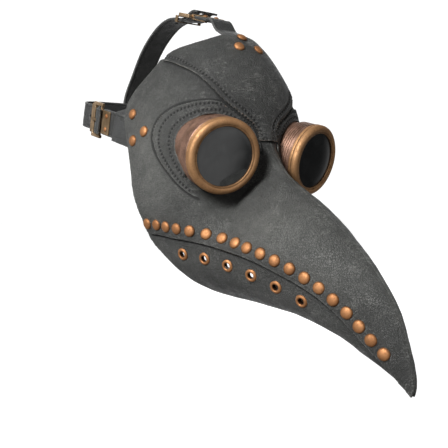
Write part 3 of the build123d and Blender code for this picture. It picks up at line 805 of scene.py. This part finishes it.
def strap_piece(node, across, origin):
    """A strap or tab with a creased border line along both edges."""
    mesh = remeshed(node, STRAP_VOXEL)
    edge = edge_paint(mesh, STRAP_VOXEL * COARSER)
    co, n = coordinates(mesh), normals(mesh)
    off = abs((co - origin) @ across)
    line = np.exp(-((off - (STRAP_HALF - STRAP_BORDER)) / 0.55) ** 2)
    wavy = 0.25 * undulation(co * 2.0)
    co = co + ((wavy * (1 - edge) - 0.3 * line) * smoothstep(0.2, 0.6, 1 - edge))[:, None] * n
    set_coordinates(mesh, co)
    paint(mesh, "inside", np.zeros(len(co)))
    # painted shade in the creased border lines
    paint(mesh, "hollow_shade", 0.5 * line)
    add_piece(node + "_leather", mesh, STRAP, "mask", [node])


tilt_across = np.array([0, -math.sin(STRAP_TILT), math.cos(STRAP_TILT)])
strap_piece("back_strap", tilt_across, STRAP_ORIGIN)
for node in ("crown_strap", "crown_tab"):
    strap_piece(node, np.array([1.0, 0, 0]), np.zeros(3))
for label in SIDES:
    strap_piece(label + "_strap_tab", tilt_across, STRAP_ORIGIN)


# ---------------------------------------------------------------- turned pieces
def lathe(outline, centre, axis, steps, wobble=0.0, seed=0):
    """Points and faces of a closed outline of (radius, height), turned about an axis."""
    a, b, c = basis(axis)
    angle = np.linspace(0, 2 * math.pi, steps, endpoint=False)
    r = np.random.default_rng(seed)
    phase = r.uniform(0, 2 * math.pi, 5)
    points = []
    for i, (radius, height) in enumerate(outline):
        dent = sum(np.sin((k + 2) * angle + phase[k] + 0.35 * i) for k in range(5))
        dent = dent * wobble / 3 * min(1, radius)
        ring = (radius + dent)[:, None] * (np.cos(angle)[:, None] * a + np.sin(angle)[:, None] * b)
        points.append(centre + ring + height * c)
    rows = len(outline)
    faces = []
    for i in range(rows):
        if outline[i][0] < 1e-6 and outline[(i + 1) % rows][0] < 1e-6:
            continue
        for j in range(steps):
            k, m = (i + 1) % rows, (j + 1) % steps
            faces.append((i * steps + j, i * steps + m, k * steps + m, k * steps + j))
    return np.concatenate(points), faces


def rounded(outline, size=0.3, steps=3):
    """Round the corners of a closed outline."""
    p = np.asarray(outline, float)
    out = []
    for i in range(len(p)):
        a, b, c = p[i - 1], p[i], p[(i + 1) % len(p)]
        u, v = a - b, c - b
        lu, lv = np.linalg.norm(u), np.linalg.norm(v)
        cut = min(size, 0.45 * lu, 0.45 * lv)
        s, e = b + u / lu * cut, b + v / lv * cut
        for t in np.linspace(0, 1, steps + 1):
            out.append((1 - t) ** 2 * s + 2 * t * (1 - t) * b + t * t * e)
    return out


def turned_piece(name, groups, material, body, replaces):
    """One piece made of several lathed solids, each (points, faces, edge values: above 0 worn bright, below 0
    painted shade).
    """
    points, faces, edge, base = [], [], [], 0
    for p, f, e in groups:
        points.append(p)
        faces += [tuple(base + i for i in q) for q in f]
        edge.append(e)
        base += len(p)
    mesh = make_mesh(name, np.concatenate(points), faces)
    values = np.concatenate(edge)
    paint(mesh, "edge", np.clip(values, 0, 1))
    # below 0: painted shade
    paint(mesh, "hollow_shade", np.clip(-values, 0, 1))
    bm = bmesh.new()
    bm.from_mesh(mesh)
    bmesh.ops.remove_doubles(bm, verts=bm.verts, dist=0.03 * MM)
    bmesh.ops.recalc_face_normals(bm, faces=bm.faces)
    bm.to_mesh(mesh)
    bm.free()
    add_piece(name, mesh, material, body, replaces)


def shaded(outline, marks):
    """A value for each outline point, from marks of (index share, value)."""
    at = np.linspace(0, 1, len(outline))
    return np.interp(at, [m[0] for m in marks], [m[1] for m in marks])


def rivet_outline(radius, high, grip, shank=1.5):
    """A shallow dome with a rounded lip, a shank and a burr behind."""
    core, low = 0.93 * radius, 0.16 * high
    dome = [(core * math.sin(t), low + (high - low) * math.cos(t)) for t in np.linspace(0.0, 1.42, 9)]
    rim = [(core, low + 0.10), (core + 0.10, low), (radius - 0.12, low - 0.10),
           (radius - 0.02, low - 0.24), (radius, low - 0.42), (radius - 0.1, -0.55), (shank, -0.6)]
    burr = [(shank, -0.2), (2.6, -0.3), (2.6, -0.8), (1.9, -1.1), (0.0, -1.1)]
    return dome + rim + [(r, -grip + h) for r, h in burr]


RIVET_RADIUS = 4.9
RIVET_HIGH = 2.4
RIVET_GRIP = {"strap_rivets": 4.6, "forehead_rivets": 4.3}
BEAK_GRIP = 4.8
RIVET_STEPS = 28
EYELET_STEPS = 32
# How worn, or where below 0 how dark with painted shade, each ring of a rivet is, from the dome's top to the
# burr.
RIVET_WEAR_AND_SHADE = np.array([0.7, 0.7, 0.65, 0.55, 0.4, 0.25, 0.1, -0.1, -0.3, -0.4, -0.55, -0.7, -0.8, -0.9,
                       -1.0, -1.0] + [-0.6] * 5)


def rivets(node):
    groups = []
    grip = RIVET_GRIP.get(node, BEAK_GRIP)
    for i, (top, axis) in enumerate(FRAMES[node]):
        r = np.random.default_rng(100 + i + 31 * len(node))
        lean = unit(axis + r.normal(size=3) * 0.025)
        point = top - (RIVET_HIGH + HEAD_REST) * axis
        point = point + (undulation(point[None])[0] - HEAD_SINK) * axis * (node != "strap_rivets")
        outline = rivet_outline(RIVET_RADIUS * r.uniform(0.97, 1.0), RIVET_HIGH * r.uniform(0.9, 1.0), grip)
        p, f = lathe(outline, point, lean, RIVET_STEPS, 0.05, i)
        groups.append((p, f, np.repeat(RIVET_WEAR_AND_SHADE, RIVET_STEPS)))
    turned_piece(node + "_domed", groups, COPPER, "mask", [node])


for node in FASTENERS:
    if node.endswith("rivets"):
        rivets(node)


EYELET_HIGH = 1.3
EYELET_OUTLINE = [(2.5, 0.3), (2.7, 1.0), (3.3, 1.35), (4.0, 1.25), (4.7, 0.8), (5.15, 0.1), (5.0, -0.3),
                  (3.3, -0.3), (3.3, -2.6), (4.2, -2.7), (4.2, -3.1), (2.6, -3.2)]
# How worn each point of an eyelet's outline is, or below 0 how dark with painted shade in the hole and
# underneath.
EYELET_WEAR_AND_SHADE = [(0, -1), (0.1, 0.3), (0.25, 1), (0.45, 0.4), (0.55, -1), (1, -1)]

for label in SIDES:
    groups = []
    outline = rounded(EYELET_OUTLINE, 0.25, 2)
    value = np.repeat(shaded(outline, EYELET_WEAR_AND_SHADE), EYELET_STEPS)
    for i, (top, axis) in enumerate(FRAMES[label + "_eyelets"]):
        point = top - EYELET_HIGH * axis
        point = point + (undulation(point[None])[0] - HEAD_SINK) * axis
        p, f = lathe(outline, point, axis, EYELET_STEPS, 0.12, 7 + i)
        groups.append((p, f, value))
    turned_piece(label + "_eyelets_rolled", groups, COPPER, "mask", [label + "_eyelets"])


# ---------------------------------------------------------------- goggles
BEZEL_OUTLINE = [(23.5, -1.85), (23.55, -1.1), (23.9, -0.62), (24.5, -0.42), (25.0, -0.5), (25.35, -0.3),
                 (26.0, -0.05), (27.1, 0.0), (28.3, -0.25), (29.3, -0.85), (30.0, -1.75), (30.4, -2.9),
                 (30.45, -4.3), (30.25, -4.9), (29.9, -5.2), (30.25, -5.55), (30.45, -6.2), (30.4, -7.4),
                 (29.9, -7.95), (27.65, -7.95), (27.65, -4.3), (25.15, -4.3), (25.15, -1.9)]
# How worn each point of the bezel's outline is, or below 0 how dark with painted shade in its grooves and
# underneath.
BEZEL_WEAR_AND_SHADE = [(0, -0.9), (0.12, -0.2), (0.2, -0.5), (0.27, 0.8), (0.5, 0.9), (0.58, 0.3), (0.63, -1),
              (0.68, 0.5), (0.78, 0.1), (0.85, -1), (1, -1)]
BEZEL_STEPS = 120
LENS_OUTLINE = [(0.0, -1.05), (8.0, -1.12), (15.0, -1.35), (20.0, -1.62), (23.4, -1.95), (24.9, -2.0),
                (24.95, -4.0), (20.0, -3.9), (10.0, -3.7), (0.0, -3.6)]
LENS_STEPS = 96

for label, side in SIDES.items():
    centre, axis = eye_centre(side), eye_axis(side)
    outline = rounded(BEZEL_OUTLINE, 0.25, 2)
    p, f = lathe(outline, centre, axis, BEZEL_STEPS, 0.06, 3 + side)
    value = np.repeat(shaded(outline, BEZEL_WEAR_AND_SHADE), BEZEL_STEPS)
    turned_piece(label + "_bezel_ring", [(p, f, value)], BEZEL, label + "_bezel",
                 [label + "_bezel"])
    p, f = lathe(LENS_OUTLINE, centre, axis, LENS_STEPS)
    turned_piece(label + "_lens_glass", [(p, f, np.zeros(len(p)))], GLASS, label + "_lens",
                 [label + "_lens"])


# ---------------------------------------------------------------- stitching
THREAD_RADIUS = 0.34
STITCH_SHARE = 0.5       # the part of the pitch that shows
STITCH_SINK = 0.1


def stitch(a, b, up, rings=6, sides=6):
    """One stitch: a bowed thread that dips into the leather at both ends."""
    along = unit(b - a)
    across = unit(np.cross(along, up))
    points = []
    for i in range(rings):
        t = i / (rings - 1)
        middle = a + (b - a) * t + up * (0.62 * math.sin(math.pi * t) ** 0.7 - 0.40)
        thick = THREAD_RADIUS * (0.55 + 0.45 * math.sin(math.pi * t) ** 0.5)
        for j in range(sides):
            turn = 2 * math.pi * j / sides
            points.append(middle + thick * (math.cos(turn) * across + math.sin(turn) * up))
    faces = [tuple(range(sides - 1, -1, -1)), tuple(range((rings - 1) * sides, rings * sides))]
    for i in range(rings - 1):
        for j in range(sides):
            k = (j + 1) % sides
            faces.append((i * sides + j, i * sides + k, (i + 1) * sides + k, (i + 1) * sides + j))
    return np.array(points), faces


def stitched(name, path, tree):
    """A row of stitches along a path, each set on the surface beneath it."""
    spots = resample(np.asarray(path), STITCH_PITCH)
    points, faces, base = [], [], 0
    for a, b in zip(spots[:-1], spots[1:]):
        if np.linalg.norm(b - a) > 1.6 * STITCH_PITCH:
            continue
        hit, up = tree.find_nearest(Vector((a + b) / 2))[:2]
        up = np.array(up)
        move = np.array(hit) - (a + b) / 2 - STITCH_SINK * up
        gap = (b - a) * (1 - STITCH_SHARE) / 2
        p, f = stitch(a + gap + move, b - gap + move, up)
        points.append(p)
        faces += [tuple(base + i for i in q) for q in f]
        base += len(p)
    mesh = make_mesh(name, np.concatenate(points), faces)
    add_piece(name, mesh, THREAD, "mask")


brow_tree = surface(brow_panel)
for label in SIDES:
    stitched(label + "_brow_stitching", BROW_STITCH[label], brow_tree)
    tree = surface(collars[label])
    for i, row in enumerate(COLLAR_STITCH[label]):
        stitched(f"{label}_collar_stitching_{i}", row, tree)
stitched("nose_stitching", NOSE_STITCH, brow_tree)


# ---------------------------------------------------------------- carried-over CAD nodes
BEVEL_ANGLE = math.radians(35)
BUCKLE_BEVEL = 0.25


def dress(node, material, bevel=0.0):
    """Give a CAD node its material and softly rounded edges."""
    obj = NODES[node]
    obj.data.materials.clear()
    obj.data.materials.append(material)
    if bevel:
        obj.modifiers.new("weld", "WELD").merge_threshold = WELD_REACH
        mod = obj.modifiers.new("bevel", "BEVEL")
        mod.width = bevel * MM
        mod.segments = 2
        mod.limit_method = "ANGLE"
        mod.angle_limit = BEVEL_ANGLE
        mod.harden_normals = False


for node in NODES:
    if "buckle" in node:
        dress(node, BRONZE, 0.0 if "prong" in node else BUCKLE_BEVEL)
    elif "eyecup" in node:
        dress(node, CUP)
    elif "gasket" in node:
        dress(node, RUBBER)
    elif node == "plate_rivets":
        dress(node, COPPER)


# ---------------------------------------------------------------- stage, light and camera
FLOOR_LEVEL = -228
FLOOR_HALF = 6000
BACKDROP = 1.12
# Each fade of the studio's walls: a direction, the cosines where it starts and ends, and its two levels.
FADES = [((0.616, 0.788, 0.0), (0.55, 0.90, 0.36, BACKDROP)),
         ((0.0, 0.0, 1.0), (0.2, 0.6, 1.0, 0.45)),
         ((0.749, -0.585, -0.31), (0.82, 0.93, 1.0, 0.06))]
LENS = 61.0714286        # millimetres of focal length, on a sensor this wide
SENSOR = 36.0
CAMERA_PLACE = (-0.411, -0.580, -0.034)     # in metres
CAMERA_HEADING = math.radians(38.0)
CAMERA_TILT = math.radians(1.8)
MIDDLE = (0, -0.08, -0.02)


def floor_paint():
    material = bpy.data.materials.new("floor")
    material.use_nodes = True
    sockets = material.node_tree.nodes["Principled BSDF"].inputs
    sockets["Base Color"].default_value = (0.5, 0.5, 0.5, 1)
    sockets["Roughness"].default_value = 0.9
    sockets["Emission Color"].default_value = (1, 1, 1, 1)
    sockets["Emission Strength"].default_value = 0.85
    return material


def floor():
    corners = [(x * FLOOR_HALF, y * FLOOR_HALF, FLOOR_LEVEL) for x, y in ((-1, -1), (1, -1), (1, 1), (-1, 1))]
    mesh = make_mesh("floor", np.array(corners, float), [(0, 1, 2, 3)])
    obj = bpy.data.objects.new("floor", mesh)
    bpy.context.scene.collection.objects.link(obj)
    mesh.materials.append(floor_paint())
    obj.visible_diffuse = False
    obj.visible_glossy = False


def studio():
    """Soft walls that light the mask, white where they are seen directly."""
    world = bpy.data.worlds.new("studio")
    world.use_nodes = True
    tree = world.node_tree
    where = tree.nodes.new("ShaderNodeTexCoord").outputs["Generated"]
    levels = []
    for direction, steps in FADES:
        facing = tree.nodes.new("ShaderNodeVectorMath")
        facing.operation = "DOT_PRODUCT"
        facing.inputs[1].default_value = direction
        fade = tree.nodes.new("ShaderNodeMapRange")
        fade.interpolation_type = "SMOOTHSTEP"
        for socket, value in zip(fade.inputs[1:5], steps):
            socket.default_value = value
        tree.links.new(where, facing.inputs[0])
        tree.links.new(facing.outputs["Value"], fade.inputs[0])
        levels.append(fade.outputs[0])
    level = levels[0]
    for other in levels[1:]:
        product = tree.nodes.new("ShaderNodeMath")
        product.operation = "MULTIPLY"
        tree.links.new(level, product.inputs[0])
        tree.links.new(other, product.inputs[1])
        level = product.outputs[0]
    seen = tree.nodes.new("ShaderNodeMix")
    seen.inputs["B"].default_value = BACKDROP
    tree.links.new(tree.nodes.new("ShaderNodeLightPath").outputs["Is Camera Ray"], seen.inputs["Factor"])
    tree.links.new(level, seen.inputs["A"])
    tree.links.new(seen.outputs["Result"], tree.nodes["Background"].inputs["Color"])
    tree.nodes["Background"].inputs["Strength"].default_value = 1.0
    bpy.context.scene.world = world


def softbox(name, place, target, size, power):
    light = bpy.data.lights.new(name, "AREA")
    light.energy = power
    light.shape = "RECTANGLE"
    light.size, light.size_y = size
    obj = bpy.data.objects.new(name, light)
    bpy.context.scene.collection.objects.link(obj)
    obj.location = place
    obj.rotation_euler = (Vector(target) - Vector(place)).to_track_quat("-Z", "Y").to_euler()


def camera():
    data = bpy.data.cameras.new("camera")
    data.sensor_width = SENSOR
    data.lens = LENS
    obj = bpy.data.objects.new("camera", data)
    bpy.context.scene.collection.objects.link(obj)
    across, ahead, level = math.sin(CAMERA_HEADING), math.cos(CAMERA_HEADING), math.cos(CAMERA_TILT)
    forward = Vector((across * level, ahead * level, -math.sin(CAMERA_TILT)))
    obj.location = CAMERA_PLACE
    obj.rotation_euler = forward.to_track_quat("-Z", "Y").to_euler()
    bpy.context.scene.camera = obj


floor()
studio()
softbox("key", (-1.45, -0.55, 0.85), MIDDLE, (0.7, 0.6), 85)
softbox("fill", (0.5, -1.9, 0.5), MIDDLE, (1.2, 1.0), 7)
softbox("rim", (0.9, 1.1, 0.9), (0, 0, 0.03), (0.9, 0.9), 5)
camera()
bpy.context.scene.view_settings.view_transform = "Standard"
